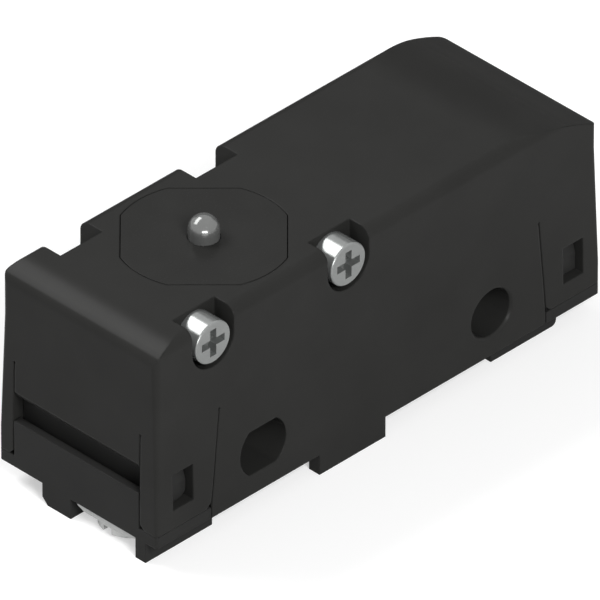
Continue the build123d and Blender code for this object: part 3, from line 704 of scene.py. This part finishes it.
@dataclass
class Studio:
    """The floor, the cards, the lamps, the world and the camera.

    Attributes:
        far: distance of the camera from the point that it aims at.
        lens: focal length of the camera in millimetres.
        sensor: width of its picture in millimetres.
        corner: the direction in which the camera stands, seen from the switch.
        aim: the point that the camera and the lamps face.
        clip: nearest and farthest distance that the camera sees.
        lamp_away: distance of the lamps from that point.
        even_light: strength of the surround on the surfaces.
        floor_size: side of the square floor.
        floor_drop: how far the floor lies below the feet.
        floor_shade: how light the floor is, 0 to 1.
        floor_rough: roughness of the floor.
        floor_lift: what the camera sees on top of the lit floor.
        floor_gloss_lift: what gloss and glass see on top of it.
        flag_way: the direction in which the dark cards stand.
        flag_near: where the low card starts, from the middle of the switch.
        flag_far: where it ends and the tall one stands.
        flag_half_width: half the width of both cards.
        flag_lift: height of the low card above the feet.
        flag_height: height of the tall card.
        low_flag_shade: how light the low card is, 0 to 1.
        tall_flag_shade: how light the tall card is, 0 to 1.
    """

    far: float = 2.224
    lens: float = 1700.0
    sensor: float = 36.0
    corner: Triple = (-1.0, -1.0, 1.0)
    aim: Triple = (-0.06 * MM, 0.02 * MM, 9.135 * MM)
    clip: tuple[float, float] = (0.05, 10.0)
    lamp_away: float = 0.5
    even_light: float = 0.3
    floor_size: float = 3.0
    floor_drop: float = 0.01 * MM
    floor_shade: float = 0.6
    floor_rough: float = 0.9
    floor_lift: float = 0.5
    floor_gloss_lift: float = 0.1
    flag_way: Triple = (0.81, 0.586, 0.0)
    flag_near: float = 0.034
    flag_far: float = 1.0
    flag_half_width: float = 0.9
    flag_lift: float = 0.1 * MM
    flag_height: float = 0.6
    low_flag_shade: float = 0.15
    tall_flag_shade: float = 0.55

    @staticmethod
    def sheet(name: str, corners: list[Vector], paper: str, level: float) -> bpy.types.Object:
        """Add a flat matt grey sheet that belongs to the studio.

        Args:
            name: name of the sheet.
            corners: its four corners in metres.
            paper: name of its material.
            level: how light it is, 0 to 1.

        Returns:
            The sheet, with its material.
        """
        mesh = bpy.data.meshes.new(name)
        mesh.from_pydata(corners, [], [(0, 1, 2, 3)])
        sheet = bpy.data.objects.new(name, mesh)
        bpy.context.scene.collection.objects.link(sheet)
        material = bpy.data.materials.new(paper)
        material.use_nodes = True
        shader = material.node_tree.nodes["Principled BSDF"]
        shader.inputs["Base Color"].default_value = grey(level)
        shader.inputs["Specular IOR Level"].default_value = 0.0
        mesh.materials.append(material)
        return sheet

    def floor(self) -> None:
        """Lay a pale floor that keeps the shadow.

        The camera sees it as plain white, and sees through it from below.
        """
        half = self.floor_size / 2
        reach = ((-half, -half), (half, -half), (half, half), (-half, half))
        corners = [Vector((x, y, -self.floor_drop)) for x, y in reach]
        plane = self.sheet("floor", corners, "floor_paper", self.floor_shade)
        tree = plane.data.materials[0].node_tree
        shader = tree.nodes["Principled BSDF"]
        shader.inputs["Roughness"].default_value = self.floor_rough
        shader.inputs["Emission Color"].default_value = grey(1.0)
        lift = self.seen_level(tree, 0.0, self.floor_lift, self.floor_gloss_lift)
        tree.links.new(lift, shader.inputs["Emission Strength"])
        side = tree.nodes.new("ShaderNodeNewGeometry")
        solid = tree.nodes.new("ShaderNodeMath")
        solid.operation = "SUBTRACT"
        solid.inputs[0].default_value = 1.0
        tree.links.new(side.outputs["Backfacing"], solid.inputs[1])
        tree.links.new(solid.outputs["Value"], shader.inputs["Alpha"])

    def card(self, name: str, corners: list[Vector], level: float) -> None:
        """Stand up a grey card that only gloss sees.

        Args:
            name: name of the card.
            corners: its four corners in metres.
            level: how light it is, 0 to 1.
        """
        card = self.sheet(name, corners, f"{name}_cloth", level)
        card.visible_camera = False
        card.visible_diffuse = False
        card.visible_transmission = False
        card.visible_shadow = False

    def flags(self) -> None:
        """Put two dark cards behind the right end: one along the floor and one upright.

        They keep the surfaces that the camera meets at a low angle as dark as the rest.
        """
        away = Vector(self.flag_way).normalized()
        across = Vector((-away.y, away.x, 0.0)) * self.flag_half_width
        lift = Vector((0.0, 0.0, self.flag_lift))
        up = Vector((0.0, 0.0, self.flag_height))
        near = away * self.flag_near + lift
        far = away * self.flag_far + lift
        low = [near - across, near + across, far + across, far - across]
        tall = [far - across, far + across, far + across + up, far - across + up]
        self.card("low_flag", low, self.low_flag_shade)
        self.card("tall_flag", tall, self.tall_flag_shade)

    @staticmethod
    def seen_level(
        tree: bpy.types.NodeTree, scattered: float, camera: float, mirrored: float
    ) -> bpy.types.NodeSocket:
        """A level that depends on how a ray arrives.

        Args:
            tree: the node tree to add to.
            scattered: the level for light that is scattered.
            camera: the level that the camera sees.
            mirrored: the level that gloss and glass show.

        Returns:
            The socket that carries the level.
        """
        path = tree.nodes.new("ShaderNodeLightPath")
        either = tree.nodes.new("ShaderNodeMath")
        either.operation = "MAXIMUM"
        tree.links.new(path.outputs["Is Glossy Ray"], either.inputs[0])
        tree.links.new(path.outputs["Is Transmission Ray"], either.inputs[1])
        shown = tree.nodes.new("ShaderNodeMapRange")
        shown.inputs["To Min"].default_value = scattered
        shown.inputs["To Max"].default_value = mirrored
        tree.links.new(either.outputs["Value"], shown.inputs["Value"])
        level = tree.nodes.new("ShaderNodeMapRange")
        level.inputs["To Max"].default_value = camera
        tree.links.new(path.outputs["Is Camera Ray"], level.inputs["Value"])
        tree.links.new(shown.outputs["Result"], level.inputs["To Min"])
        return level.outputs["Result"]

    def world(self) -> None:
        """Put up an even white surround; the camera and gloss see it at full white."""
        world = bpy.data.worlds.new("surround")
        world.use_nodes = True
        back = world.node_tree.nodes["Background"]
        back.inputs["Color"].default_value = grey(1.0)
        level = self.seen_level(world.node_tree, self.even_light, 1.0, 1.0)
        world.node_tree.links.new(level, back.inputs["Strength"])
        bpy.context.scene.world = world

    def camera(self) -> None:
        """Set up a long lens at the corner view in which all three axes share one scale."""
        data = bpy.data.cameras.new("camera")
        data.sensor_width = self.sensor
        data.lens = self.lens
        data.clip_start, data.clip_end = self.clip
        camera = bpy.data.objects.new("camera", data)
        back = Vector(self.corner).normalized()
        camera.location = Vector(self.aim) + back * self.far
        camera.rotation_mode = "QUATERNION"
        camera.rotation_quaternion = back.to_track_quat("Z", "Y")
        bpy.context.scene.collection.objects.link(camera)
        bpy.context.scene.camera = camera

    def build(self) -> None:
        """Set up the whole studio and the plain view settings."""
        self.floor()
        self.flags()
        for lamp in LAMPS:
            lamp.hang(Vector(self.aim), self.lamp_away)
        self.world()
        self.camera()
        bpy.context.scene.view_settings.view_transform = "Standard"


def main() -> None:
    """Build the switch and its studio, and report each piece."""
    logging.basicConfig(level=logging.INFO)
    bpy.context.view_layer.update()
    groups = (Mouldings(), Plunger(), Mechanism(), Terminals(), CrossScrews())
    for group in groups:
        for name in group.build():
            LOG.info("%s: %s", type(group).__name__, name)
    Studio().build()


if __name__ == "__main__":
    main()
